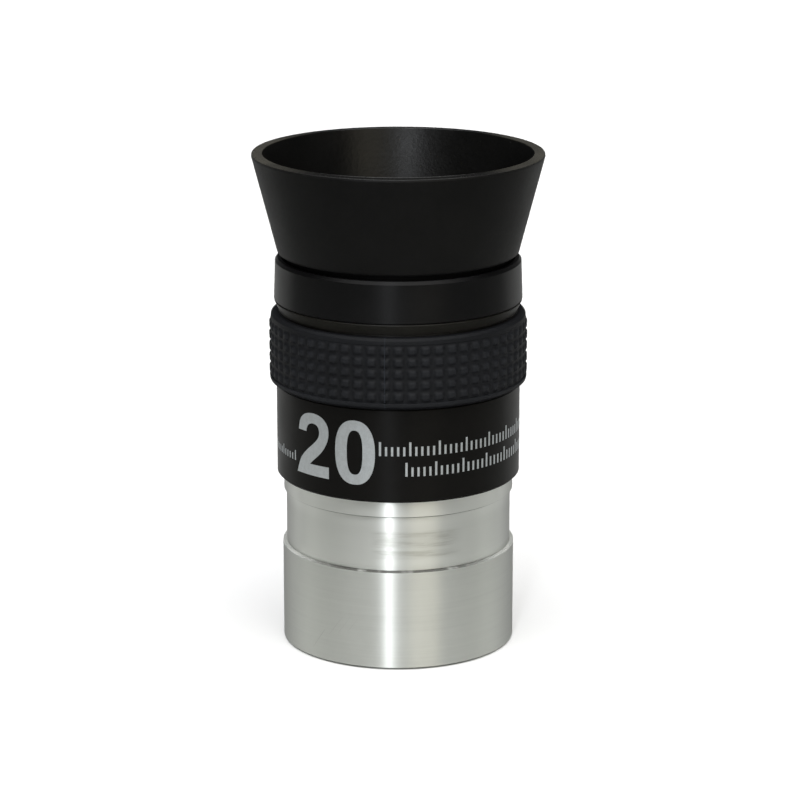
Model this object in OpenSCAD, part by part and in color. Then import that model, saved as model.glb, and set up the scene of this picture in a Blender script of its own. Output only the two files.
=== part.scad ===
// Telescope eyepiece for a 31.7 mm (1.25 inch) holder, with a rubber eyecup
// that is raised by a twist collar.
// Units are millimetres. +Z is up, towards the eye. The origin is on the
// optical axis, in the plane of the barrel's lower rim.

/* [Barrel] */
// Outside diameter of the push-fit barrel
barrel_d = 31.7; // [31.5:0.05:31.75]
// Height of the full-diameter length, from the lower rim to the ledge
barrel_h = 13.8; // [13:0.1:15]
// Diameter at the bottom of the safety undercut
undercut_d = 30.64; // [30.4:0.02:31]
// Height of the underside of the body, which seats on the holder
shoulder_z = 23.55; // [23.2:0.05:24]
// Major diameter of the filter thread
filter_d = 28.5; // [28.3:0.1:28.7]
// Depth of the filter thread
filter_h = 5.3; // [4.6:0.1:5.6]

/* [Body] */
// Outside diameter of the smooth band on the body
body_d = 33.09; // [32.9:0.01:33.3]
// Top of the smooth band, where the rubber grip starts
band_top = 36.42; // [36.2:0.02:37]
// Outside diameter of the rubber grip over its bumps
grip_d = 35.04; // [34.6:0.02:35.4]
// Top of the rubber grip
grip_top = 46.12; // [45.6:0.02:46.2]

/* [Twist mechanism] */
// How far the eyecup rises
lift = 6; // [5:0.5:6]
// Turn of the collar, in degrees, that gives the full rise
turn = 105; // [100:1:108]
// Number of lugs, grooves and keys round the guide sleeve
starts = 3; // [3]
// Outside diameter of the guide sleeve
sleeve_d = 29.2; // [29.1:0.05:29.25]
// Radial running clearance of the moving rings on the sleeve
run_gap = 0.05; // [0.04:0.01:0.08]
// Outside diameter at the foot of the twist collar
collar_d = 33.62; // [33.5:0.02:33.8]

/* [Eyecup] */
// Outside diameter at the rim of the rubber eyecup
rim_d = 39.38; // [38.8:0.02:39.8]
// Outside diameter at the foot of the rubber eyecup
foot_d = 32.58; // [32.4:0.02:32.8]
// Overall height of the eyepiece with the eyecup down
total_h = 67.7; // [67:0.1:68.4]
// Wall thickness of the rubber
wall = 1.45; // [1.3:0.05:1.6]

/* [Optics] */
// Diameter of the achromat and the eye lens
lens_d = 25.7; // [25.5:0.02:25.7]
// Diameter of the two field elements in the barrel
field_lens_d = 24.6; // [24.4:0.05:24.6]
// Clear diameter of the field stop
field_stop_d = 23.2; // [22:0.1:23.6]

/* [Hidden] */
$fn = 128;
e = 0.01;

barrel_r = barrel_d / 2;
undercut_r = undercut_d / 2;
barrel_collar_r = 15.66;      // plain collar between undercut and body
barrel_collar_z = 21.37;
filter_r = filter_d / 2;
barrel_bore = 13.45;
spigot_r = 14.9;              // barrel thread inside the body
spigot_top = 29;

body_r = body_d / 2;
seat_r = 16.2;                // grip seat
housing_top = 46.3;
sleeve_thread_r = 15.2;
sleeve_foot = 34;

grip_r = grip_d / 2;

sleeve_r = sleeve_d / 2;
sleeve_bore = 12.9;
flange_top = 47.81;
sleeve_top = 59.1;
neck_r = 13.6;                // seat of the stop ring
groove_floor = 13.7;
lug_r = 0.85;
lug_gap = 0.15;
lug_z = 49.6;
lug_tip = 13.86;
key_w = 1.88;
key_slot_w = 2.0;
key_lead = 2;                 // degrees from a lug to its key
key_z = 51.95;
key_h = 1.1;

collar_foot = 47.89;
collar_top = 53.53;
collar_r = collar_d / 2;
run_r = sleeve_r + run_gap;
pocket_r = 15.8;
pocket_z = 51.6;

carrier_r = 15.3;
carrier_top = 58.6;
bead_z = 55.6;
bead_h = 0.9;
bead_depth = 0.28;

foot_z = 54.24;
foot_r = foot_d / 2;
rim_r = rim_d / 2;
cone = (rim_r - foot_r) / (total_h - 0.4 - foot_z);
function cup_r(z) = foot_r + (z - foot_z) * cone;

lens_r = lens_d / 2;
field_r = field_lens_d / 2;
cell_pocket = 12.35;

// A plain ring from z0 to z1.
module ring(r0, r1, z0, z1)
    rotate_extrude()
        polygon([[r0, z0], [r1, z0], [r1, z1], [r0, z1]]);

// Two or more notches across the face of a ring, for a pin spanner.
module spanner_notches(n, r, w, z0, z1)
    for (i = [0 : n - 1])
        rotate([0, 0, i * 360 / n])
            translate([r, -w / 2, z0])
                cube([4, w, z1 - z0]);

// Glass disc with a spherical face below and above. A positive radius of
// curvature bulges outwards, a negative one is hollow. ca is the radius at
// which each curve meets the flat bevel at z0 and z1.
module lens(r, ca, z0, z1, rb, rt) {
    function rise(rc) = abs(rc) - sqrt(rc * rc - ca * ca);
    difference() {
        union() {
            translate([0, 0, z0])
                cylinder(r = r, h = z1 - z0);
            if (rb > 0)
                intersection() {
                    translate([0, 0, z0 + rb - rise(rb)])
                        sphere(r = rb);
                    translate([0, 0, z0 - rise(rb) - 1])
                        cylinder(r = ca, h = rise(rb) + 1 + (z1 - z0) / 2);
                }
            if (rt > 0)
                intersection() {
                    translate([0, 0, z1 - rt + rise(rt)])
                        sphere(r = rt);
                    translate([0, 0, z1 - (z1 - z0) / 2])
                        cylinder(r = ca, h = rise(rt) + 1 + (z1 - z0) / 2);
                }
        }
        if (rb < 0)
            translate([0, 0, z0 - abs(rb) + rise(rb)])
                sphere(r = -rb);
        if (rt < 0)
            translate([0, 0, z1 + abs(rt) - rise(rt)])
                sphere(r = -rt);
    }
}

// Helical channel of rectangular section about Z. It starts a0 degrees
// before the resting place of a lug and ends at a1, rising with the lead.
module helical_channel(r0, r1, half, a0, a1, z, rise_per_deg) {
    n = ceil((a1 - a0) / 6);
    function ring_pts(i) =
        let (a = a0 + (a1 - a0) * i / n, zc = z + a * rise_per_deg)
        [[r0 * cos(a), r0 * sin(a), zc - half],
         [r1 * cos(a), r1 * sin(a), zc - half],
         [r1 * cos(a), r1 * sin(a), zc + half],
         [r0 * cos(a), r0 * sin(a), zc + half]];
    pts = [for (i = [0 : n]) each ring_pts(i)];
    sides = [for (i = [0 : n - 1], k = [0 : 3])
        let (p = 4 * i + k, q = 4 * i + (k + 1) % 4)
        each [[p, q, p + 4], [q, q + 4, p + 4]]];
    ends = [[0, 2, 1], [0, 3, 2],
        [4 * n, 4 * n + 1, 4 * n + 2], [4 * n, 4 * n + 2, 4 * n + 3]];
    polyhedron(pts, concat(sides, ends), convexity = 10);
}

// Chromed brass barrel with safety undercut, filter thread bore and the
// threaded spigot that goes into the body.
module nose_barrel() color([0.72, 0.72, 0.70])
    rotate_extrude()
        polygon([
            [filter_r + 0.3, 0], [barrel_r - 0.3, 0], [barrel_r, 0.3],
            [barrel_r, barrel_h - 0.12], [barrel_r - 0.12, barrel_h],
            [undercut_r, barrel_h],
            [undercut_r, barrel_collar_z - 0.2],
            [barrel_collar_r, barrel_collar_z],
            [barrel_collar_r, shoulder_z], [spigot_r, shoulder_z],
            [spigot_r, spigot_top - 0.3], [spigot_r - 0.3, spigot_top],
            [barrel_bore, spigot_top], [barrel_bore, filter_h + 1],
            [filter_r - 0.4, filter_h + 0.6], [filter_r - 0.4, filter_h],
            [filter_r, filter_h], [filter_r, 0.3]]);

// Tube that carries the two field elements inside the barrel.
module field_group_cell() color([0.10, 0.10, 0.11])
    rotate_extrude()
        polygon([
            [cell_pocket + 0.2, 8], [barrel_bore - 0.2, 8],
            [barrel_bore, 8.2], [barrel_bore, 20], [11.9, 20],
            [11.2, 18.4], [11.2, 17.1], [cell_pocket, 17.1],
            [cell_pocket, 8.2]]);

module field_concave_element() color([0.60, 0.75, 0.80, 0.5])
    lens(field_r, 11.4, 9.9, 15.6, -38, -30);

module field_meniscus_element() color([0.65, 0.80, 0.78, 0.5])
    difference() {
        union() {
            translate([0, 0, 15.6])
                cylinder(r = field_r, h = 1.5);
            // Cemented face, the same sphere as the element below
            intersection() {
                translate([0, 0, 15.6 + sqrt(30 * 30 - 11.4 * 11.4)])
                    sphere(r = 30);
                translate([0, 0, 12])
                    cylinder(r = 11.4, h = 4);
            }
        }
        translate([0, 0, 17.1 + sqrt(62 * 62 - 11.0 * 11.0)])
            sphere(r = 62);
    }

module field_group_retaining_ring() color([0.08, 0.08, 0.09])
    difference() {
        rotate_extrude()
            polygon([[11.6, 8.6], [cell_pocket, 8.6], [cell_pocket, 9.9],
                [11.2, 9.9], [11.2, 9.1]]);
        spanner_notches(2, 10.5, 1.2, 8, 9.2);
    }

// Knife-edged ring at the focal plane, seen as the edge of the view.
module field_stop_ring() color([0.06, 0.06, 0.06])
    rotate_extrude()
        polygon([[field_stop_d / 2, 25.4], [barrel_bore, 24.4],
            [barrel_bore, 26.6], [field_stop_d / 2 + 0.5, 26.6],
            [field_stop_d / 2, 25.6]]);

// Black body: smooth band below, seat for the grip above, threaded for the
// barrel at the foot and for the guide sleeve at the head.
module body_housing() color([0.09, 0.09, 0.09])
    rotate_extrude()
        polygon([
            [spigot_r, shoulder_z], [body_r - 0.33, shoulder_z],
            [body_r, shoulder_z + 0.33], [body_r, band_top - 0.25],
            [body_r - 0.25, band_top],
            [seat_r, band_top], [seat_r, housing_top - 0.1],
            [seat_r - 0.1, housing_top],
            [sleeve_thread_r, housing_top], [sleeve_thread_r, 33],
            [13.9, 33], [13.9, spigot_top], [spigot_r, spigot_top]]);

// Rubber grip, as its plain envelope.
module grip_ring() color([0.14, 0.15, 0.17])
    rotate_extrude()
        polygon([
            [seat_r, band_top + 0.05], [grip_r - 0.75, band_top + 0.05],
            [grip_r - 0.25, band_top + 0.55], [grip_r, band_top + 1.1],
            [grip_r, grip_top - 1.1], [grip_r - 0.3, grip_top - 0.45],
            [grip_r - 0.7, grip_top], [seat_r, grip_top]]);

// Sleeve that holds the upper lenses. Its flange shows as the bevelled
// band under the collar. Helical channels guide the collar's lugs, and
// straight slots stop the eyecup carrier from turning.
module guide_sleeve() color([0.12, 0.12, 0.115])
    difference() {
        rotate_extrude()
            polygon([
                [12, sleeve_foot], [sleeve_thread_r - 0.3, sleeve_foot],
                [sleeve_thread_r, sleeve_foot + 0.3],
                [sleeve_thread_r, housing_top],
                [16.1, housing_top], [collar_r - 0.05, flange_top - 0.12],
                [collar_r - 0.15, flange_top],
                [sleeve_r, flange_top], [sleeve_r, sleeve_top],
                [neck_r, sleeve_top], [neck_r, sleeve_top + 0.6],
                [sleeve_bore, sleeve_top + 0.6],
                [sleeve_bore, 35.2], [12, 35.2]]);
        for (i = [0 : starts - 1])
            rotate([0, 0, i * 360 / starts]) {
                helical_channel(groove_floor, sleeve_r + 0.5,
                    (lug_r + lug_gap) / cos(atan(lift / turn * 180 / PI / sleeve_r)),
                    -4.3, (sleeve_top + 1.3 - lug_z) * turn / lift,
                    lug_z, lift / turn);
                rotate([0, 0, key_lead])
                    translate([groove_floor, -key_slot_w / 2, key_z - 0.35])
                        cube([2, key_slot_w, 10]);
            }
    }

// Ring that closes the open ends of the channels and stops the rise.
module sleeve_stop_ring() color([0.11, 0.11, 0.11])
    difference() {
        rotate_extrude()
            polygon([[neck_r, sleeve_top], [sleeve_r - 0.05, sleeve_top],
                [sleeve_r - 0.05, sleeve_top + 0.5],
                [sleeve_r - 0.3, sleeve_top + 0.75],
                [neck_r, sleeve_top + 0.75]]);
        spanner_notches(3, neck_r + 0.35, 1.4, sleeve_top + 0.35, sleeve_top + 2);
    }

module lens_spacer_lower() color([0.08, 0.08, 0.08])
    rotate_extrude()
        polygon([[12, 35.2], [lens_r, 35.2], [lens_r, 41.4], [12, 41.4]]);

module achromat_flint_element() color([0.62, 0.74, 0.80, 0.5])
    lens(lens_r, 12, 41.4, 45.6, 150, -27);

module achromat_crown_element() color([0.66, 0.80, 0.76, 0.5])
    lens(lens_r, 12, 45.6, 47.1, 27, 36);

module lens_spacer_upper() color([0.08, 0.08, 0.08])
    rotate_extrude()
        polygon([[12, 47.1], [lens_r, 47.1], [lens_r, 52.4], [12, 52.4]]);

module eye_lens_element() color([0.60, 0.78, 0.74, 0.5])
    lens(lens_r, 12, 52.4, 54.9, 60, 38);

module eye_lens_retaining_ring() color([0.09, 0.09, 0.09])
    difference() {
        rotate_extrude()
            polygon([[12, 54.9], [sleeve_bore, 54.9], [sleeve_bore, 57.4],
                [12.55, 57.4], [12, 56.4]]);
        spanner_notches(2, 11.5, 1.3, 56.6, 58);
    }

// Ring turned by the fingers. Three lugs inside it ride in the channels.
module twist_collar() color([0.09, 0.09, 0.10])
    union() {
        rotate_extrude()
            polygon([
                [run_r, collar_foot + 0.1], [run_r + 0.1, collar_foot],
                [collar_r - 0.12, collar_foot],
                [collar_r, collar_foot + 0.12],
                [collar_r - 0.18, collar_top - 0.42],
                [collar_r - 0.50, collar_top],
                [pocket_r, collar_top], [pocket_r, pocket_z],
                [run_r, pocket_z]]);
        for (i = [0 : starts - 1])
            rotate([0, 0, i * 360 / starts])
                translate([lug_tip, 0, lug_z])
                    rotate([0, 90, 0])
                        cylinder(r = lug_r, h = 1.6, $fn = 48);
    }

// Thin plastic washer that lets the collar turn under the carrier.
module collar_slip_washer() color([0.85, 0.85, 0.80])
    ring(run_r + 0.08, pocket_r - 0.1, pocket_z, pocket_z + 0.27);

// Ring screwed into the collar, over the carrier's flange.
module collar_retaining_ring() color([0.10, 0.10, 0.10])
    difference() {
        ring(carrier_r + 0.08, pocket_r, 52.6, 53.4);
        spanner_notches(2, pocket_r - 0.3, 1.2, 53, 54);
    }

// Metal tube that carries the rubber. Keys inside it slide in the straight
// slots of the guide sleeve, so it rises without turning.
module eyecup_carrier() color([0.10, 0.10, 0.10])
    union() {
        rotate_extrude()
            polygon([
                [run_r, pocket_z + 0.32], [pocket_r - 0.08, pocket_z + 0.32],
                [pocket_r - 0.08, 52.5], [carrier_r, 52.5],
                [carrier_r, bead_z], [carrier_r - bead_depth, bead_z],
                [carrier_r - bead_depth, bead_z + bead_h],
                [carrier_r, bead_z + bead_h],
                [carrier_r, carrier_top - 0.2], [carrier_r - 0.2, carrier_top],
                [run_r, carrier_top]]);
        for (i = [0 : starts - 1])
            rotate([0, 0, i * 360 / starts + key_lead])
                translate([lug_tip, -key_w / 2, key_z])
                    cube([sleeve_r + 0.4 - lug_tip, key_w, key_h]);
    }

// Flared rubber eyecup with a bead that snaps into the carrier's groove.
module eyecup() color([0.08, 0.08, 0.08])
    rotate_extrude()
        polygon([
            [carrier_r, foot_z], [foot_r - 0.2, foot_z],
            [cup_r(foot_z + 0.2), foot_z + 0.2],
            [rim_r, total_h - 0.4], [rim_r - 0.1, total_h - 0.15],
            [rim_r - 0.34, total_h],
            [rim_r - wall - 0.04 + 0.15, total_h],
            [rim_r - wall - 0.04, total_h - 0.15],
            [cup_r(58.8) - wall, 58.8], [cup_r(58.8) - wall - 0.3, 58.2],
            [carrier_r, 57.9],
            [carrier_r, bead_z + bead_h],
            [carrier_r - bead_depth, bead_z + bead_h],
            [carrier_r - bead_depth, bead_z], [carrier_r, bead_z]]);

nose_barrel();
field_group_cell();
field_concave_element();
field_meniscus_element();
field_group_retaining_ring();
field_stop_ring();
body_housing();
grip_ring();
guide_sleeve();
sleeve_stop_ring();
lens_spacer_lower();
achromat_flint_element();
achromat_crown_element();
lens_spacer_upper();
eye_lens_element();
eye_lens_retaining_ring();
twist_collar();
collar_slip_washer();
collar_retaining_ring();
eyecup_carrier();
eyecup();
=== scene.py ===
import math

import bmesh
import bpy
import numpy as np
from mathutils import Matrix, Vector
from mathutils.geometry import tessellate_polygon


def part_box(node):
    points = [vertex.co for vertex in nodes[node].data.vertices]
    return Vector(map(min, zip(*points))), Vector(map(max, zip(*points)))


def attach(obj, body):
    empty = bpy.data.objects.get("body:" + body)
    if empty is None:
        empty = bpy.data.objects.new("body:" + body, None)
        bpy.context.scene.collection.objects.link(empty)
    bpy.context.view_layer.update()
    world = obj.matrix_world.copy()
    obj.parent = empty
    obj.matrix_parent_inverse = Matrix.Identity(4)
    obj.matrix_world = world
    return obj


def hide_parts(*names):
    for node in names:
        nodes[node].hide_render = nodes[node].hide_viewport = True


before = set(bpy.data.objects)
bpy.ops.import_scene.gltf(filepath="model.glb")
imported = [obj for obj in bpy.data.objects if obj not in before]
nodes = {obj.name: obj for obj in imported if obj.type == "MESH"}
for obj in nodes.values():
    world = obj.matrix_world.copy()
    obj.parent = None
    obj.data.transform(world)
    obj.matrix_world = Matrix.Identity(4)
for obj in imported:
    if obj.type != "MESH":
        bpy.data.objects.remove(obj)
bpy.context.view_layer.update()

MM = 0.001
BODY, CARRIAGE, COLLAR = "eyepiece_body", "cup_carriage", "turning_collar"
scene = bpy.context.scene

# ------------------------------------------------------------------ sizes
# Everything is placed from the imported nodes' own boxes, in millimetres here.


def span(node):
    """(outer radius, lowest z, highest z) of a round node, in mm."""
    lo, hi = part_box(node)
    return hi.x / MM, lo.z / MM, hi.z / MM


barrel_r, barrel_z0, _ = span("nose_barrel")
body_r, body_z0, body_z1 = span("body_housing")
grip_r, grip_z0, grip_z1 = span("grip_ring")
collar_r, collar_z0, collar_z1 = span("twist_collar")
cup_r, cup_z0, cup_z1 = span("eyecup")
carrier_r = 15.3          # the carrier's tube, on which the rubber sits
carrier_z1 = span("eyecup_carrier")[2]
seat_r = 16.2             # the seat under the rubber grip
LEDGE = 0.01374           # height of the ledge below the undercut, in metres
CUP_RISE = (19.69 - 16.34) / (67.3 - 54.44)   # the eyecup's flare: radius gained per height


# --------------------------------------------------------------- node maths
class G:
    """Small helper for writing node graphs."""

    def __init__(self, nt):
        self.nt = nt

    def n(self, kind, **kw):
        node = self.nt.nodes.new(kind)
        for k, v in kw.items():
            if k.startswith("in_"):
                node.inputs[k[3:].replace("_", " ")].default_value = v
            else:
                setattr(node, k, v)
        return node

    def link(self, a, b):
        self.nt.links.new(a, b)

    def math(self, op, a, b=None, clamp=False):
        m = self.n("ShaderNodeMath", operation=op, use_clamp=clamp)
        for i, v in enumerate((a, b)):
            if v is None:
                continue
            if isinstance(v, (int, float)):
                m.inputs[i].default_value = v
            else:
                self.link(v, m.inputs[i])
        return m.outputs[0]

    def add(self, a, b):
        return self.math("ADD", a, b)

    def mul(self, a, b):
        return self.math("MULTIPLY", a, b)

    def map(self, v, a, b, c, d, smooth=False):
        m = self.n("ShaderNodeMapRange")
        if smooth:
            m.interpolation_type = "SMOOTHSTEP"
        m.inputs["From Min"].default_value = a
        m.inputs["From Max"].default_value = b
        m.inputs["To Min"].default_value = c
        m.inputs["To Max"].default_value = d
        self.link(v, m.inputs["Value"])
        return m.outputs["Result"]

    def bump(self, height, strength, distance, normal=None):
        b = self.n("ShaderNodeBump", in_Strength=strength, in_Distance=distance)
        self.link(height, b.inputs["Height"])
        if normal is not None:
            self.link(normal, b.inputs["Normal"])
        return b.outputs["Normal"]

    def noise(self, vec, scale, detail=2.0, rough=0.5):
        t = self.n("ShaderNodeTexNoise", in_Scale=scale, in_Detail=detail, in_Roughness=rough)
        self.link(vec, t.inputs["Vector"])
        return t.outputs["Fac"]

    def cells(self, vec, scale):
        """(distance to the nearest cell centre, that cell's random number)."""
        v = self.n("ShaderNodeTexVoronoi", in_Scale=scale)
        self.link(vec, v.inputs["Vector"])
        s = self.n("ShaderNodeSeparateColor")
        self.link(v.outputs["Color"], s.inputs["Color"])
        return v.outputs["Distance"], s.outputs["Red"]

    def ramp(self, fac, *stops):
        r = self.n("ShaderNodeValToRGB")
        e = r.color_ramp.elements
        while len(e) < len(stops):
            e.new(0.5)
        for el, (p, c) in zip(e, stops):
            el.position = p
            el.color = (*c, 1) if len(c) == 3 else c
        self.link(fac, r.inputs["Fac"])
        return r.outputs["Color"]

    def mix(self, fac, a, b):
        m = self.n("ShaderNodeMix", data_type="RGBA")
        self.link(fac, m.inputs["Factor"])
        for name, v in (("A", a), ("B", b)):
            sock = [s for s in m.inputs if s.name == name and s.type == "RGBA"][0]
            if isinstance(v, tuple):
                sock.default_value = (*v, 1)
            else:
                self.link(v, sock)
        return [s for s in m.outputs if s.type == "RGBA"][0]

    def vec(self, x, y, z):
        c = self.n("ShaderNodeCombineXYZ")
        for i, v in enumerate((x, y, z)):
            if isinstance(v, (int, float)):
                c.inputs[i].default_value = v
            else:
                self.link(v, c.inputs[i])
        return c.outputs[0]

    def place(self):
        """The point, and its (angle, height, radius) about the optical axis."""
        tc = self.n("ShaderNodeTexCoord")
        sep = self.n("ShaderNodeSeparateXYZ")
        self.link(tc.outputs["Object"], sep.inputs[0])
        x, y, z = sep.outputs[0], sep.outputs[1], sep.outputs[2]
        ang = self.math("ARCTAN2", x, self.mul(y, -1.0))
        rad = self.math("SQRT", self.add(self.mul(x, x), self.mul(y, y)))
        return tc.outputs["Object"], ang, z, rad

    def dust(self, obj, scale, share, size):
        """1 on a few tiny specks, 0 elsewhere."""
        d, r = self.cells(obj, scale)
        near = self.math("LESS_THAN", d, size)
        few = self.math("GREATER_THAN", r, 1.0 - share)
        return self.mul(near, few)

    def turned(self, b):
        """Highlights of a turned part stretch across its turning lines."""
        t = self.n("ShaderNodeTangent", direction_type="RADIAL", axis="Z")
        self.link(t.outputs["Tangent"], b.inputs["Tangent"])


def new_material(name, color, rough, metallic=0.0, specular=0.5, **extra):
    m = bpy.data.materials.new(name)
    m.use_nodes = True
    nt = m.node_tree
    b = nt.nodes["Principled BSDF"]
    tint = extra.pop("Tint", None)
    if tint is not None:
        b.inputs["Specular Tint"].default_value = (*tint, 1)
    b.inputs["Base Color"].default_value = (*color, 1)
    b.inputs["Roughness"].default_value = rough
    b.inputs["Metallic"].default_value = metallic
    b.inputs["Specular IOR Level"].default_value = specular
    for k, v in extra.items():
        b.inputs[k.replace("_", " ")].default_value = v
    m.diffuse_color = (*color, 1)
    return m, G(nt), b


def scaled(c, f):
    return tuple(v * f for v in c)


# ---------------------------------------------------------------- materials
def turned_chrome():
    """Satin machined barrel: fine turning lines, faint stains, and the dull
    band that a holder's clamp leaves in the undercut."""
    base = (0.775, 0.790, 0.755)
    m, g, b = new_material("turned_chrome", base, 0.38, metallic=1.0, Tint=(0.70, 0.70, 0.70),
                           Anisotropic=0.96, Anisotropic_Rotation=0.25)
    obj, ang, z, rad = g.place()
    fine = g.noise(g.vec(g.mul(ang, 1.2), g.mul(z, 9000.0), g.mul(rad, 9000.0)), 1.0, 3.0, 0.65)
    lines = g.noise(g.vec(g.mul(ang, 0.6), g.mul(z, 1700.0), g.mul(rad, 1700.0)), 1.0, 2.0, 0.5)
    bands = g.noise(g.vec(g.mul(ang, 0.9), g.mul(z, 330.0), g.mul(rad, 330.0)), 1.0, 2.0, 0.5)
    stain = g.noise(g.vec(g.mul(ang, 3.0), g.mul(z, 120.0), g.mul(rad, 60.0)), 1.0, 4.0, 0.6)
    shade = g.add(g.add(g.mul(lines, 0.25), g.mul(bands, 0.20)), g.add(g.mul(stain, 0.40), g.mul(fine, 0.15)))
    col = g.ramp(shade, (0.34, scaled(base, 0.93)), (0.50, base), (0.66, scaled(base, 1.05)))
    # painted light: the undercut and the collar above it are made paler, to make up for the darker reflection they
    # show
    reflection_lift = g.add(g.map(z, LEDGE, LEDGE + 0.0012, 0.0, 0.55, True), g.map(z, 0.0190, 0.0212, 0.0, 0.45, True))
    col = g.mix(reflection_lift, col, (0.95, 0.965, 0.93))
    # clamp wear: blotchy horizontal dashes on part of the undercut
    low = g.map(z, 0.0152, 0.0158, 0.0, 1.0, True)
    high = g.map(z, 0.0189, 0.0194, 1.0, 0.0, True)
    gap = g.math("ABSOLUTE", g.add(z, -0.01675))
    gap = g.map(gap, 0.0001, 0.00035, 0.25, 1.0, True)
    left = g.map(ang, -0.26, -0.15, 0.0, 1.0, True)
    right = g.map(ang, 0.38, 0.62, 1.0, 0.0, True)
    blotch = g.noise(g.vec(g.mul(ang, 2.2), g.mul(z, 1500.0), 0.0), 1.0, 4.0, 0.66)
    blotch = g.map(blotch, 0.40, 0.62, 0.0, 1.0, True)
    worn = g.mul(g.mul(g.mul(low, high), g.mul(left, right)), g.mul(gap, g.map(blotch, 0.0, 1.0, 0.35, 1.0)))
    col = g.mix(g.mul(worn, 0.50), col, (0.46, 0.465, 0.41))
    # hairline scratches low on the barrel
    sd = g.noise(g.vec(g.mul(g.add(g.mul(ang, 0.0158), g.mul(z, -0.75)), 2600.0), g.mul(z, 90.0), 0.0), 1.0, 1.0, 0.5)
    scratch = g.mul(g.math("GREATER_THAN", sd, 0.68), g.map(z, 0.0045, 0.0075, 1.0, 0.0))
    scratch = g.mul(scratch, g.mul(g.map(ang, -0.95, -0.80, 0.0, 1.0, True), g.map(ang, -0.40, -0.25, 1.0, 0.0, True)))
    col = g.mix(g.mul(scratch, 0.25), col, (0.52, 0.52, 0.50))
    # painted shade in the corner of the ledge, darkest toward the front and broken up along it, standing in for the
    # dark reflection the ledge shows there; and a dark line along the seam above the undercut
    ledge = g.map(g.math("ABSOLUTE", g.add(z, -LEDGE)), 0.00007, 0.00012, 1.0, 0.0, True)
    seam = g.map(g.math("ABSOLUTE", g.add(z, -0.02128)), 0.00005, 0.00014, 0.45, 0.0, True)
    outside = g.map(rad, 0.0150, 0.0152, 0.0, 1.0)
    front_shade = g.map(g.math("ABSOLUTE", ang), 0.45, 1.15, 0.92, 0.15, True)
    front_shade = g.mul(front_shade, g.map(g.noise(g.vec(g.mul(ang, 5.0), 0.0, 0.0), 1.0, 2.0, 0.5), 0.35, 0.50, 0.55, 1.0, True))
    ledge_shade_and_seam_line = g.mul(g.math("MAXIMUM", g.mul(ledge, front_shade), seam), outside)
    col = g.mix(ledge_shade_and_seam_line, col, (0.045, 0.045, 0.038))
    g.link(col, b.inputs["Base Color"])
    # the ledge is also made mostly non-metallic, so where the painted shade fades toward the sides it reads as pale
    # grey
    g.link(g.map(g.mul(ledge, outside), 0.0, 1.0, 1.0, 0.25), b.inputs["Metallic"])
    rough = g.add(g.map(shade, 0.3, 0.7, 0.355, 0.405), g.mul(worn, 0.05))
    g.link(rough, b.inputs["Roughness"])
    h = g.add(g.add(g.mul(lines, 0.5), g.mul(fine, 0.35)), g.mul(bands, 0.15))
    g.link(g.bump(h, 0.05, 0.00002), b.inputs["Normal"])
    g.turned(b)
    return m


def anodised(name, color, rough, aniso=0.5, grain=0.5, specular=0.35, dusty=0.10, bump=0.22):
    """Black anodised aluminium: a fine grain, faint turning lines, dust."""
    m, g, b = new_material(name, color, rough, specular=specular,
                           Anisotropic=aniso, Anisotropic_Rotation=0.25)
    obj, ang, z, rad = g.place()
    lines = g.noise(g.vec(g.mul(ang, 1.0), g.mul(z, 5200.0), g.mul(rad, 5200.0)), 1.0, 2.0, 0.5)
    speck = g.noise(obj, 8000.0, 2.0, 0.6)
    soft = g.noise(obj, 200.0, 3.0, 0.5)
    mix = g.add(g.mul(speck, 0.5), g.mul(soft, 0.5))
    col = g.ramp(mix, (0.32, scaled(color, 0.72)), (0.68, scaled(color, 1.35)))
    dust = g.dust(obj, 520.0, dusty, 0.055)
    col = g.mix(g.mul(dust, 0.8), col, (0.11, 0.11, 0.105))
    g.link(col, b.inputs["Base Color"])
    g.link(g.add(g.map(mix, 0.3, 0.7, rough * 0.86, rough * 1.14), g.mul(dust, 0.3)),
           b.inputs["Roughness"])
    h = g.add(g.mul(speck, grain), g.mul(lines, 1 - grain))
    g.link(g.bump(h, bump, 0.00002), b.inputs["Normal"])
    g.turned(b)
    return m


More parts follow.
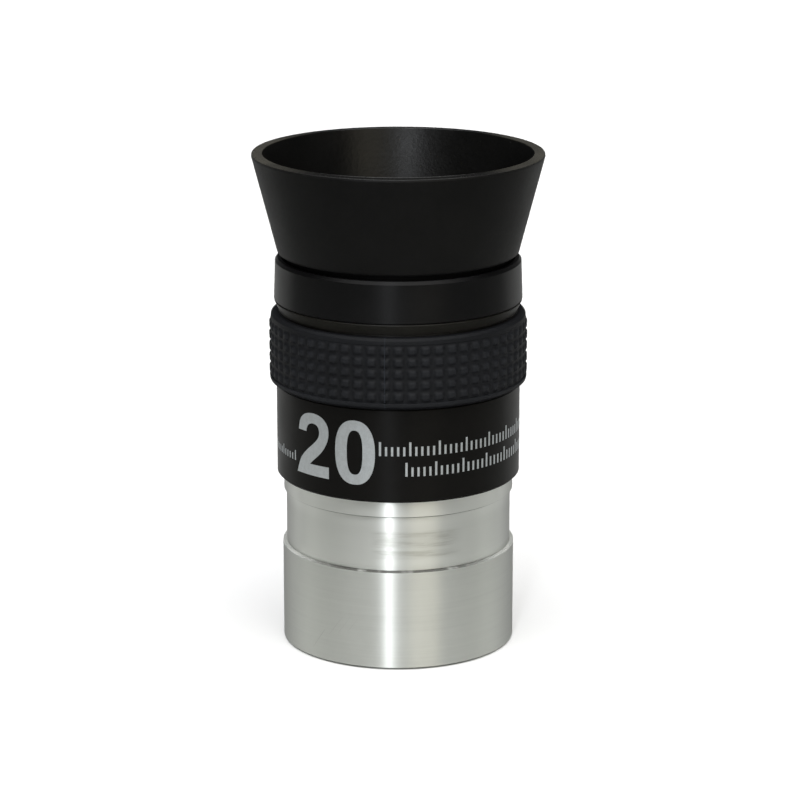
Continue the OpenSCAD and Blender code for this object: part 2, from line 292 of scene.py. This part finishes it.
def rubber(name, color, rough, fine=5200.0, specular=0.3, bump=0.35, dusty=0.06,
           worn=None, inside=None, parting_line_highlight=None):
    """Moulded rubber: a fine matt skin, soft mottling and a little dust."""
    m, g, b = new_material(name, color, rough, specular=specular)
    obj, ang, z, rad = g.place()
    skin = g.noise(obj, fine, 3.0, 0.6)
    grainy = g.noise(obj, fine * 0.32, 2.0, 0.5)
    soft = g.noise(obj, 150.0, 3.0, 0.5)
    mix = g.add(g.add(g.mul(skin, 0.30), g.mul(grainy, 0.25)), g.mul(soft, 0.45))
    col = g.ramp(mix, (0.34, scaled(color, 0.74)), (0.66, scaled(color, 1.30)))
    if worn is not None:  # crests polished by the fingers, paler and smoother
        r0, r1, tint = worn
        crest = g.map(rad, r0, r1, 0.0, 1.0, True)
        crest = g.mul(crest, g.map(soft, 0.35, 0.65, 0.55, 1.0))
        col = g.mix(g.mul(crest, 0.75), col, tint)
    if parting_line_highlight is not None:  # a thin pale line where the mould's halves met: the parting line is real, its paleness is a painted highlight
        a0, half, tint = parting_line_highlight
        line = g.map(g.math("ABSOLUTE", g.add(ang, -a0)), half * 0.6, half * 1.4, 1.0, 0.0, True)
        col = g.mix(g.mul(line, 0.45), col, tint)
    dust = g.dust(obj, 650.0, dusty, 0.05)
    col = g.mix(g.mul(dust, 0.7), col, (0.09, 0.09, 0.088))
    r = g.map(mix, 0.3, 0.7, rough - 0.07, rough + 0.07)
    if inside is not None:  # the cup's inner wall left the mould smoother
        r0, z0, rise, less = inside
        depth = g.add(rad, g.mul(g.add(g.mul(g.add(z, -z0), rise), r0), -1.0))
        inner = g.map(depth, -1.3 * MM, -0.8 * MM, 1.0, 0.0, True)
        r = g.add(r, g.mul(inner, -less))
        # the land of the rim is smooth, and a painted sheen makes its left and right sides pale
        land = g.map(z, cup_z1 * MM - 0.00014, cup_z1 * MM - 0.00009, 0.0, 1.0, True)
        r = g.add(r, g.mul(g.mul(land, g.map(z, cup_z1 * MM - 0.00004, cup_z1 * MM - 0.00002, 1.0, 0.0, True)), -0.26))
        side_mask = g.map(g.math("ABSOLUTE", g.math("SINE", ang)), 0.55, 0.95, 0.0, 1.0, True)
        side_sheen = g.mul(g.mul(land, side_mask), g.map(soft, 0.30, 0.70, 0.55, 1.0))
        col = g.mix(g.mul(side_sheen, 0.85), col, (0.070, 0.066, 0.054))
    g.link(col, b.inputs["Base Color"])
    g.link(r, b.inputs["Roughness"])
    h = g.add(g.mul(skin, 0.6), g.mul(grainy, 0.4))
    if inside is not None:  # and its grain is coarser there
        h = g.add(h, g.mul(g.mul(grainy, inner), 1.1))
    g.link(g.bump(h, bump, 0.00003), b.inputs["Normal"])
    return m


def ink():
    """Silvery screen-printed ink, a little uneven."""
    base = (0.66, 0.69, 0.71)
    m, g, b = new_material("print_ink", base, 0.55, metallic=1.0, specular=0.5)
    obj, ang, z, rad = g.place()
    a = g.noise(obj, 1500.0, 4.0, 0.6)
    c = g.noise(obj, 6500.0, 2.0, 0.5)
    mix = g.add(g.mul(a, 0.6), g.mul(c, 0.4))
    g.link(g.ramp(mix, (0.32, scaled(base, 0.86)), (0.62, scaled(base, 1.06))), b.inputs["Base Color"])
    g.link(g.map(mix, 0.3, 0.7, 0.50, 0.64), b.inputs["Roughness"])
    g.link(g.bump(mix, 0.25, 0.00002), b.inputs["Normal"])
    return m


def coated_glass(name, tint, film):
    """Optical glass with a thin coating, whose reflection has a faint colour."""
    m, g, b = new_material(name, tint, 0.015, specular=0.5, Transmission_Weight=1.0,
                           IOR=1.52, Thin_Film_Thickness=film, Thin_Film_IOR=1.38)
    obj, ang, z, rad = g.place()
    haze = g.noise(obj, 420.0, 3.0, 0.5)
    g.link(g.map(haze, 0.35, 0.75, 0.005, 0.035), b.inputs["Roughness"])
    return m


def slip_plastic():
    """Pale low-friction plastic with moulding swirls."""
    base = (0.72, 0.72, 0.68)
    m, g, b = new_material("slip_plastic", base, 0.45, specular=0.4, Subsurface_Weight=0.1)
    obj, ang, z, rad = g.place()
    s = g.noise(g.vec(g.mul(ang, 4.0), g.mul(z, 900.0), g.mul(rad, 900.0)), 1.0, 3.0, 0.5)
    g.link(g.ramp(s, (0.3, scaled(base, 0.88)), (0.7, base)), b.inputs["Base Color"])
    g.link(g.map(s, 0.3, 0.7, 0.38, 0.52), b.inputs["Roughness"])
    g.link(g.bump(s, 0.15, 0.00002), b.inputs["Normal"])
    return m


MAT = {
    "barrel": turned_chrome(),
    "body": anodised("body_semi_gloss_black", (0.0034, 0.0031, 0.0027), 0.40, 0.85, 0.30, 0.125, 0.03, 0.15),
    "collar": anodised("collar_satin_black", (0.0026, 0.0026, 0.0028), 0.40, 0.80, 0.75, 0.19, 0.10, 0.60),
    "sleeve": anodised("sleeve_satin_black", (0.0095, 0.0090, 0.0070), 0.44, 0.80, 0.50, 0.26, 0.05, 0.22),
    "inner": anodised("inner_matt_black", (0.0022, 0.0022, 0.0022), 0.60, 0.20, 0.70, 0.08, 0.03, 0.35),
    "cup": rubber("eyecup_rubber_skin", (0.0030, 0.0029, 0.0027), 0.54, 5600.0, 0.29, 0.70, 0.05,
                  inside=(16.34 * MM, 54.44 * MM, CUP_RISE, 0.185)),
    "grip": rubber("grip_rubber_skin", (0.0062, 0.0068, 0.0084), 0.60, 4600.0, 0.18, 0.36, 0.02,
                   worn=((grip_r - 0.24) * MM, (grip_r - 0.05) * MM, (0.0125, 0.0137, 0.0165)),
                   parting_line_highlight=(math.radians(-5.84), 0.0026, (0.030, 0.036, 0.048))),
    "ink": ink(),
    "field_glass": coated_glass("field_glass_coated", (0.94, 0.98, 1.0), 330.0),
    "eye_glass": coated_glass("eye_glass_coated", (0.95, 1.0, 0.97), 410.0),
    "washer": slip_plastic(),
}

for node, key in (("nose_barrel", "barrel"), ("body_housing", "body"), ("guide_sleeve", "sleeve"),
                  ("twist_collar", "collar"), ("eyecup_carrier", "inner"),
                  ("collar_retaining_ring", "inner"), ("sleeve_stop_ring", "inner"),
                  ("eye_lens_retaining_ring", "inner"), ("lens_spacer_upper", "inner"),
                  ("lens_spacer_lower", "inner"), ("field_stop_ring", "inner"),
                  ("field_group_cell", "inner"), ("field_group_retaining_ring", "inner"),
                  ("field_concave_element", "field_glass"), ("field_meniscus_element", "field_glass"),
                  ("achromat_flint_element", "eye_glass"), ("achromat_crown_element", "eye_glass"),
                  ("eye_lens_element", "eye_glass"), ("collar_slip_washer", "washer"),
                  ("eyecup", "cup"), ("grip_ring", "grip")):
    me = nodes[node].data
    me.materials.clear()
    me.materials.append(MAT[key])


# ------------------------------------------------------------------- meshes
def mesh_piece(name, verts, faces, material, body, smooth=None):
    """A closed mesh from points in mm, riding on a body."""
    me = bpy.data.meshes.new(name)
    me.from_pydata([tuple(c * MM for c in v) for v in verts], [], faces)
    bm = bmesh.new()
    bm.from_mesh(me)
    bmesh.ops.remove_doubles(bm, verts=bm.verts, dist=1e-7)
    bmesh.ops.recalc_face_normals(bm, faces=bm.faces)
    bm.to_mesh(me)
    bm.free()
    me.materials.append(material)
    if smooth is None:
        for p in me.polygons:
            p.use_smooth = True
    else:
        me.shade_smooth_by_angle(angle=math.radians(smooth)) if hasattr(me, "shade_smooth_by_angle") \
            else smooth_by_angle(me, math.radians(smooth))
    o = bpy.data.objects.new(name, me)
    scene.collection.objects.link(o)
    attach(o, body)
    return o


def smooth_by_angle(me, angle):
    """Smooth shading, with the edges sharper than that angle marked sharp."""
    bm = bmesh.new()
    bm.from_mesh(me)
    for f in bm.faces:
        f.smooth = True
    for e in bm.edges:
        e.smooth = len(e.link_faces) == 2 and e.calc_face_angle(0.0) <= angle
    bm.to_mesh(me)
    bm.free()


def fillet(points, steps=5):
    """A closed outline whose corners (x, y, radius) are rounded."""
    out = []
    n = len(points)
    for i, (x, y, r) in enumerate(points):
        p = Vector((x, y))
        a = Vector(points[i - 1][:2]) - p
        b = Vector(points[(i + 1) % n][:2]) - p
        if r <= 0 or a.length < 1e-9 or b.length < 1e-9:
            out.append((x, y))
            continue
        ang = a.angle(b)
        t = min(r / math.tan(ang / 2), a.length * 0.48, b.length * 0.48)
        r = t * math.tan(ang / 2)
        pa, pb = p + a.normalized() * t, p + b.normalized() * t
        c = p + (a.normalized() + b.normalized()).normalized() * (r / math.sin(ang / 2))
        va, vb = pa - c, pb - c
        turn = va.angle_signed(vb)
        for k in range(steps + 1):
            s = -turn * k / steps
            out.append((c.x + va.x * math.cos(s) - va.y * math.sin(s),
                        c.y + va.x * math.sin(s) + va.y * math.cos(s)))
    return out


def split_long(outline, longest):
    """More points along the long sides of a closed outline."""
    out = []
    for i, (x, y) in enumerate(outline):
        x1, y1 = outline[(i + 1) % len(outline)]
        k = max(1, math.ceil(math.hypot(x1 - x, y1 - y) / longest))
        out += [(x + (x1 - x) * j / k, y + (y1 - y) * j / k) for j in range(k)]
    return out


def revolve(outline, angles, shape=None):
    """(points, faces) of an outline of (r, z) turned about Z. shape moves a
    point: it gets (r, z, angle) and gives (r, z)."""
    verts, faces = [], []
    m, n = len(outline), len(angles)
    for a in angles:
        ca, sa = math.sin(a), -math.cos(a)   # angle 0 faces -Y
        for r, z in outline:
            if shape is not None:
                r, z = shape(r, z, a)
            verts.append((r * ca, r * sa, z))
    for i in range(n):
        j = (i + 1) % n
        for k in range(m):
            l = (k + 1) % m
            faces.append((i * m + k, j * m + k, j * m + l, i * m + l))
    return verts, faces


def wave(a, z):
    """A slow, seeded unevenness of moulded rubber, from -1 to 1."""
    return (0.5 * math.sin(2 * a + 0.7 + 0.02 * z) + 0.3 * math.sin(3 * a + 2.1 - 0.06 * z)
            + 0.2 * math.sin(7 * a + 1.3 + 0.11 * z))


# the rubber eyecup, with rounded edges and the bead that snaps on the carrier
slope = CUP_RISE
wall = 1.45
edge_z = cup_z1 - 0.4
outline = fillet([
    (carrier_r + 0.01, cup_z0 + 0.05, 0.05), (16.20, cup_z0, 0.10), (16.34, cup_z0 + 0.22, 0.20),
    (cup_r - 0.015, edge_z, 0.22), (cup_r - 0.05, cup_z1 - 0.085, 0.11),
    (cup_r - wall + 0.13, cup_z1 - 0.06, 0.03), (cup_r - wall + 0.03, cup_z1, 0.04),
    (cup_r - wall - 0.03, cup_z1 - 0.10, 0.06),
    (cup_r - wall - 0.06 - slope * (cup_z1 - 0.22 - 59.2), 59.2, 0.8),
    (cup_r - wall - 0.06 - slope * (cup_z1 - 58.2) - 0.55, 58.05, 0.5),
    (carrier_r + 0.01, 57.85, 0.08)], 6)
outline = split_long(outline, 0.8)


def cup_shape(r, z, a):
    if r < carrier_r + 0.05:
        return r, z
    t = min(1.0, max(0.0, (z - cup_z0) / 4.0))
    return min(r + 0.022 * t * wave(a, z), cup_r - 0.002), z


v, f = revolve(outline, [2 * math.pi * i / 256 for i in range(256)], cup_shape)
cup = mesh_piece("eyecup_moulded", v, f, MAT["cup"], CARRIAGE, 38)
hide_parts("eyecup")

# the rubber grip: five rows of sixty soft square bumps between plain bands
ROWS, AROUND, PITCH = 5, 60, 1.545
row_z0 = 38.23 - PITCH / 2
row_z1 = row_z0 + ROWS * PITCH
CREST, VALLEY = grip_r - 0.02, grip_r - 0.30
SEAM = math.radians(-5.84)


def pillow(t):
    """Height across one bump, from t = 0 to 1: flat top, round shoulders."""
    d = min(1.0, max(0.0, (0.5 - 0.03 - abs(t - 0.5)) / 0.34))
    return d * d * (3 - 2 * d)


def grip_shape(r, z, a):
    if r < seat_r + 0.2 or not row_z0 < z < row_z1:
        return r, z
    u = (a - SEAM) / (2 * math.pi) * AROUND + 0.5
    v = (z - row_z0) / PITCH
    h = pillow(u % 1.0) * pillow(v % 1.0)
    # the bumps of each mould are a little uneven
    i, j = int(math.floor(u)) % AROUND, int(v)
    jitter = 1.0 + 0.10 * math.sin(12.9898 * i + 78.233 * j)
    r = VALLEY + (CREST - VALLEY) * min(1.0, h * jitter)
    # flash line of the two mould halves
    for s in (SEAM, SEAM + math.pi):
        d = abs((a - s + math.pi) % (2 * math.pi) - math.pi) * grip_r
        if d < 0.09:
            r = max(r, VALLEY + (CREST + 0.015 - VALLEY) * (1.0 if d < 0.045 else 0.35))
    return min(r, grip_r - 0.003), z


grip_outline = fillet([
    (seat_r + 0.005, grip_z0, 0.0), (grip_r - 0.62, grip_z0, 0.22), (grip_r - 0.10, grip_z0 + 0.40, 0.35),
    (grip_r - 0.07, row_z0 - 0.10, 0.05), (VALLEY, row_z0, 0.0)], 5)
grip_outline += [(VALLEY, row_z0 + PITCH * k / 12) for k in range(1, 12 * ROWS)]
grip_outline += fillet([
    (VALLEY, row_z1, 0.0), (grip_r - 0.24, row_z1 + 0.08, 0.05), (grip_r - 0.28, grip_z1 - 0.35, 0.25),
    (grip_r - 0.62, grip_z1, 0.26), (seat_r + 0.005, grip_z1, 0.0)], 5)
cols = [2 * math.pi * i / 780 for i in range(780)]
for s in (SEAM, SEAM + math.pi):
    cols += [(s + d / grip_r) % (2 * math.pi) for d in (-0.09, -0.044, -0.03, 0.03, 0.044, 0.09)]
cols = sorted(cols)
cols = [c for i, c in enumerate(cols) if i == 0 or c - cols[i - 1] > 1e-4]
v, f = revolve(grip_outline, cols, grip_shape)
grip = mesh_piece("grip_bumped_rubber", v, f, MAT["grip"], BODY, 50)
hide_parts("grip_ring")


# printed marks: flat shapes in (arc, height), wrapped on the smooth band
def catmull(points, steps=6):
    """A smooth open curve through the points."""
    p = [points[0], *points, points[-1]]
    out = []
    for i in range(1, len(p) - 2):
        for k in range(steps):
            t = k / steps
            out.append(tuple(0.5 * (2 * p[i][c] + (p[i + 1][c] - p[i - 1][c]) * t
                                    + (2 * p[i - 1][c] - 5 * p[i][c] + 4 * p[i + 1][c] - p[i + 2][c]) * t * t
                                    + (3 * p[i][c] - p[i - 1][c] - 3 * p[i + 1][c] + p[i + 2][c]) * t ** 3)
                             for c in (0, 1)))
    out.append(points[-1])
    return out


def wrapped(bm, loops, proud):
    """Adds a flat shape (an outline, then its holes) to bm as a thin closed
    skin on the band: its top is proud mm above it, its underside in it."""
    flat = bmesh.new()
    pts = [Vector((x, y, 0)) for loop in loops for x, y in loop]
    vs = [flat.verts.new(p) for p in pts]
    for tri in tessellate_polygon([[Vector((x, y, 0)) for x, y in loop] for loop in loops]):
        try:
            flat.faces.new([vs[i] for i in tri])
        except ValueError:
            pass
    bmesh.ops.remove_doubles(flat, verts=flat.verts, dist=1e-6)
    x0, x1 = min(p.x for p in pts), max(p.x for p in pts)
    x = math.floor(x0 / 0.35) * 0.35 + 0.35
    while x < x1:
        bmesh.ops.bisect_plane(flat, geom=flat.verts[:] + flat.edges[:] + flat.faces[:],
                               dist=1e-5, plane_co=(x, 0, 0), plane_no=(1, 0, 0))
        x += 0.35
    flat.verts.index_update()
    level = {}
    for top in (True, False):
        r = body_r + proud if top else body_r - 0.02
        for q in flat.verts:
            a = q.co.x / body_r
            level[(q.index, top)] = bm.verts.new((r * math.sin(a), -r * math.cos(a), q.co.y))
    for fa in flat.faces:
        if fa.calc_area() < 1e-9:
            continue
        ids = [q.index for q in fa.verts]
        bm.faces.new([level[(i, True)] for i in ids])
        bm.faces.new([level[(i, False)] for i in reversed(ids)])
    for e in flat.edges:
        if len(e.link_faces) == 1:
            a, b = e.verts[0].index, e.verts[1].index
            bm.faces.new([level[(a, True)], level[(b, True)], level[(b, False)], level[(a, False)]])
    flat.free()


def printed(name, shapes, proud=0.012):
    bm = bmesh.new()
    for loops in shapes:
        wrapped(bm, loops, proud)
    bmesh.ops.recalc_face_normals(bm, faces=bm.faces)
    for q in bm.verts:
        q.co *= MM
    me = bpy.data.meshes.new(name)
    bm.to_mesh(me)
    bm.free()
    me.materials.append(MAT["ink"])
    for p in me.polygons:
        p.use_smooth = False
    o = bpy.data.objects.new(name, me)
    scene.collection.objects.link(o)
    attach(o, BODY)
    return o


def moved(loop, x, y, kx=1.0, ky=1.0):
    return [(px * kx + x, py * ky + y) for px, py in loop]


# a plain bold two, drawn in a box of 5.97 x 8.58 mm
two = catmull([(0.36, 5.95), (0.56, 6.90), (0.90, 7.62), (1.53, 8.18), (2.43, 8.52), (3.33, 8.60),
               (4.15, 8.50), (4.93, 8.18), (5.55, 7.60), (5.87, 6.92), (5.94, 6.10), (5.80, 5.28),
               (5.40, 4.40), (4.72, 3.45), (3.75, 2.52), (3.15, 2.00), (2.66, 1.53)])
two += [(5.97, 1.58), (5.97, 0.0), (0.0, 0.0)]
two += catmull([(0.43, 1.20), (0.83, 2.02), (1.53, 2.85), (2.33, 3.60), (3.13, 4.25), (3.83, 4.92),
                (4.25, 5.52), (4.38, 6.15), (4.25, 6.70), (3.92, 7.05), (3.43, 7.20), (2.93, 7.16),
                (2.43, 6.92), (2.13, 6.50), (1.98, 5.93)])


def rounded_oval(rx, ry, cx, cy, power, n=72):
    out = []
    for i in range(n):
        t = 2 * math.pi * i / n
        c, s = math.cos(t), math.sin(t)
        out.append((cx + rx * math.copysign(abs(c) ** (2 / power), c),
                    cy + ry * math.copysign(abs(s) ** (2 / power), s)))
    return out


zero = [rounded_oval(2.83, 4.39, 0, 0, 2.35), rounded_oval(1.11, 3.02, 0.02, 0, 2.6)]
printed("printed_numeral", [
    [moved(two, -15.73, 26.10)],
    [moved(loop, -5.91, 30.265) for loop in zero]])


# graduations in place of the printed words
def bars(x0, x1, z, tall, pitch, wide, every=5):
    out = []
    i = 0
    x = x0
    while x < x1:
        h = tall if i % every == 0 else tall * 0.66
        out.append([[(x, z), (x + wide, z), (x + wide, z + h), (x, z + h)]])
        x += pitch
        i += 1
    return out


printed("printed_graduations",
        bars(-2.55, 25.6, 30.05, 1.90, 0.80, 0.30)
        + bars(0.95, 25.6, 27.25, 1.90, 0.80, 0.30)
        + bars(-23.6, -16.2, 27.45, 1.35, 0.72, 0.24))

# filter thread inside the foot of the barrel: one right-handed ridge
def thread_ridge(r_root, r_crest, pitch, z0, z1, per_turn=120):
    turns = (z1 - z0) / pitch
    n = int(turns * per_turn)
    verts, faces = [], []
    for i in range(n + 1):
        a = 2 * math.pi * i / per_turn
        z = z0 + pitch * i / per_turn
        fade = min(1.0, i / 30, (n - i) / 30)
        rc = r_root - 0.001 - (r_root - r_crest) * fade
        wc = 0.06 + 0.14 * (1 - fade)
        for r, dz in ((r_root + 0.05, -0.26), (rc, -wc / 2), (rc, wc / 2), (r_root + 0.05, 0.26)):
            verts.append((r * math.cos(a), r * math.sin(a), z + dz))
    for i in range(n):
        for k in range(4):
            l = (k + 1) % 4
            faces.append((4 * i + k, 4 * i + l, 4 * i + 4 + l, 4 * i + 4 + k))
    faces += [(0, 1, 2, 3), (4 * n, 4 * n + 3, 4 * n + 2, 4 * n + 1)]
    return verts, faces


v, f = thread_ridge(14.25, 13.93, 0.6, barrel_z0 + 0.75, 5.0)
mesh_piece("filter_thread_ridge", v, f, MAT["barrel"], BODY, 30)


# -------------------------------------------------------------------- stage
def area(name, loc, target, size, power, color=(1, 1, 1), size_y=None):
    d = bpy.data.lights.new(name, "AREA")
    d.energy = power
    d.color = color
    d.size = size
    if size_y:
        d.shape = "RECTANGLE"
        d.size_y = size_y
    o = bpy.data.objects.new(name, d)
    scene.collection.objects.link(o)
    o.location = loc
    o.rotation_euler = (Vector(target) - Vector(loc)).to_track_quat("-Z", "Y").to_euler()
    return o


def around(az_deg, el_deg, dist, z=0.035):
    """A place at that azimuth (0 is the camera's side, -Y) and elevation."""
    a, e = math.radians(az_deg), math.radians(el_deg)
    return (dist * math.sin(a) * math.cos(e), -dist * math.cos(a) * math.cos(e),
            z + dist * math.sin(e))


def sheet(name, x0, x1, y0, y1, z, material):
    me = bpy.data.meshes.new(name)
    me.from_pydata([(x0, y0, z), (x1, y0, z), (x1, y1, z), (x0, y1, z)], [], [(0, 1, 2, 3)])
    me.materials.append(material)
    o = bpy.data.objects.new(name, me)
    scene.collection.objects.link(o)
    return o


paper, _, _ = new_material("floor_paper", (0.90, 0.90, 0.90), 0.9, specular=0.1)
floor = sheet("floor", -4.0, 4.0, -4.0, 4.0, 0.0, paper)
floor.visible_glossy = False   # gloss sees the world's lower half in its place

# a black card on the floor round the front and the sides, seen only in gloss
card_black, _, _ = new_material("card_black", (0.01, 0.01, 0.01), 1.0, specular=0.0)
me = bpy.data.meshes.new("black_card")
turns = [math.radians(t) for t in range(-115, 115 + 1, 5)]
me.from_pydata([(r * math.sin(t), -r * math.cos(t), 0.0006) for t in turns for r in (0.190, 3.0)], [],
               [(2 * i, 2 * i + 1, 2 * i + 3, 2 * i + 2) for i in range(len(turns) - 1)])
me.materials.append(card_black)
card = bpy.data.objects.new("black_card", me)
scene.collection.objects.link(card)
card.visible_camera = False
card.visible_diffuse = False
card.visible_shadow = False
card.visible_transmission = False

# a white backdrop, seen by the camera alone when it stands low
white, _, wb = new_material("backdrop_paper", (0.90, 0.90, 0.90), 0.9, specular=0.1)
wb.inputs["Emission Color"].default_value = (1, 1, 1, 1)
wb.inputs["Emission Strength"].default_value = 1.0
white.cycles.emission_sampling = "NONE"
verts, faces = revolve([(3.6 * math.cos(math.radians(t)), 3.6 * math.sin(math.radians(t)))
                        for t in range(0, 90, 6)] + [(0.01, 3.6)], [2 * math.pi * i / 48 for i in range(48)])
me = bpy.data.meshes.new("backdrop")
me.from_pydata(verts, [], [q for q in faces if abs(q[0] - q[3]) == 1])
me.materials.append(white)
backdrop = bpy.data.objects.new("backdrop", me)
scene.collection.objects.link(backdrop)
backdrop.visible_diffuse = False
backdrop.visible_glossy = False
backdrop.visible_shadow = False
backdrop.visible_transmission = False
backdrop.visible_volume_scatter = False

world = bpy.data.worlds.new("studio")
scene.world = world
world.use_nodes = True
wg = G(world.node_tree)
bg = world.node_tree.nodes["Background"]
bg.inputs["Color"].default_value = (1, 1, 1, 1)
tc = wg.n("ShaderNodeTexCoord")
dot = wg.n("ShaderNodeVectorMath", operation="DOT_PRODUCT")
tilt = math.radians(-8.0)
dot.inputs[1].default_value = (0.0, math.sin(tilt), math.cos(tilt))
wg.link(tc.outputs["Generated"], dot.inputs[0])
sky = wg.map(dot.outputs["Value"], 0.70, 0.90, 0.05, 3.5, True)
# below the horizon, seen by gloss alone: a pale band, dark further down
split = wg.n("ShaderNodeSeparateXYZ")
wg.link(tc.outputs["Generated"], split.inputs[0])
up = split.outputs[2]
band = wg.mul(wg.map(up, -0.52, -0.34, 0.0, 1.0, True), wg.map(up, -0.05, 0.02, 1.0, 0.0, True))
band = wg.mul(band, wg.map(split.outputs[1], 0.05, 0.93, 1.0, 0.42, True))   # dimmer behind
wg.link(wg.add(sky, wg.mul(band, 1.22)), bg.inputs["Strength"])
wg.link(wg.mix(band, (1.0, 1.0, 1.0), (0.985, 1.0, 0.95)), bg.inputs["Color"])

centre = (0, 0, 0.035)
area("key_cool", around(-9.2, 25, 0.8), centre, 0.075, 1.6, (0.93, 0.96, 1.0), 0.60)
area("fill_warm", around(26.5, 24, 0.8), centre, 0.40, 0.68, (1.0, 0.92, 0.72), 0.45)

cam_data = bpy.data.cameras.new("camera")
cam = bpy.data.objects.new("camera", cam_data)
scene.collection.objects.link(cam)
cam_data.sensor_width = 36.0
cam_data.lens = 3141.9 * 36.0 / 800.0
cam_data.clip_start = 0.01
cam.location = (0.00024, -0.4142, 0.14416)
cam.rotation_euler = (math.radians(90 - 14.983), 0, 0)
scene.camera = cam

scene.view_settings.view_transform = "Standard"
scene.view_settings.look = "None"
